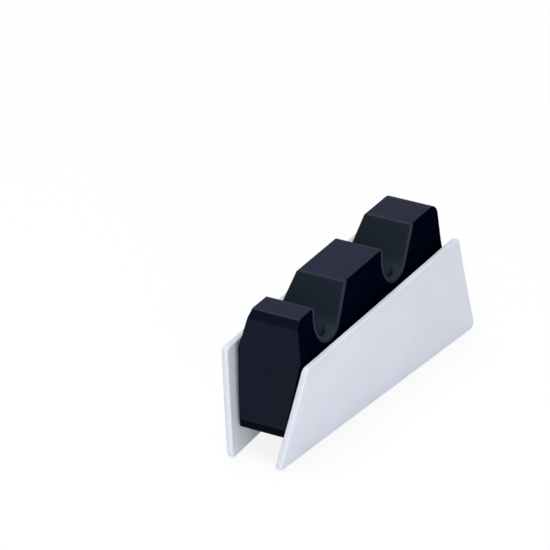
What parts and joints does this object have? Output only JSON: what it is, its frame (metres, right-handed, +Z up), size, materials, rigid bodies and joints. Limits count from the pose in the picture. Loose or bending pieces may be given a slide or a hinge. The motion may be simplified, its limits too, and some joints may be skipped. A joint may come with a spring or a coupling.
{
  "type": "controller charging dock",
  "caption": "Slim upright charging dock that holds two game controllers one behind the other in padded cradles between two side panels.",
  "frame": {"origin": "middle of the footprint, on the surface that the feet stand on", "axes": "+X to the right seen from the front, +Y from the front cradle to the rear one, +Z up"},
  "size_m": [0.043, 0.1568, 0.0658],
  "materials": {
    "housing_black": "fine moulded black ABS, satin",
    "panel_white": "white ABS, fine satin",
    "liner_slate": "soft matte slate grey elastomer",
    "pedestal_dark": "dark grey moulded plastic",
    "contact_metal": "gold-plated spring contact",
    "board_green": "circuit board with solder mask",
    "header_cream": "moulded connector",
    "chip_black": "moulded chip package",
    "capacitor_can": "aluminium can",
    "steel": "zinc-plated steel",
    "inlet_steel": "nickel-plated shell",
    "foot_rubber": "matte rubber",
    "wire_insulation": "soft insulated wire"
  },
  "bodies": {
    "root": {"ballast_plate": "steel", "ballast_screws": "steel", "base_cover": "housing_black", "base_screws": "steel", "board_screws": "steel", "charger_chip_front": "chip_black", "charger_chip_rear": "chip_black", "contact_board_front": "board_green", "contact_board_rear": "board_green", "contact_front_left": "contact_metal", "contact_front_right": "contact_metal", "contact_header_front": "header_cream", "contact_header_rear": "header_cream", "contact_rear_left": "contact_metal", "contact_rear_right": "contact_metal", "cradle_liner_front": "liner_slate", "cradle_liner_rear": "liner_slate", "filter_capacitor": "capacitor_can", "foot_front_left": "foot_rubber", "foot_front_right": "foot_rubber", "foot_rear_left": "foot_rubber", "foot_rear_right": "foot_rubber", "harness_front": "wire_insulation", "harness_rear": "wire_insulation", "inductor_front": "chip_black", "inductor_rear": "chip_black", "main_board": "board_green", "main_header_front": "header_cream", "main_header_rear": "header_cream", "module_screws": "steel", "panel_screws": "steel", "side_panel_left": "panel_white", "side_panel_right": "panel_white", "terminal_pedestal_front": "pedestal_dark", "terminal_pedestal_rear": "pedestal_dark", "top_housing": "housing_black", "usb_inlet": "inlet_steel"}
  },
  "joints": []
}
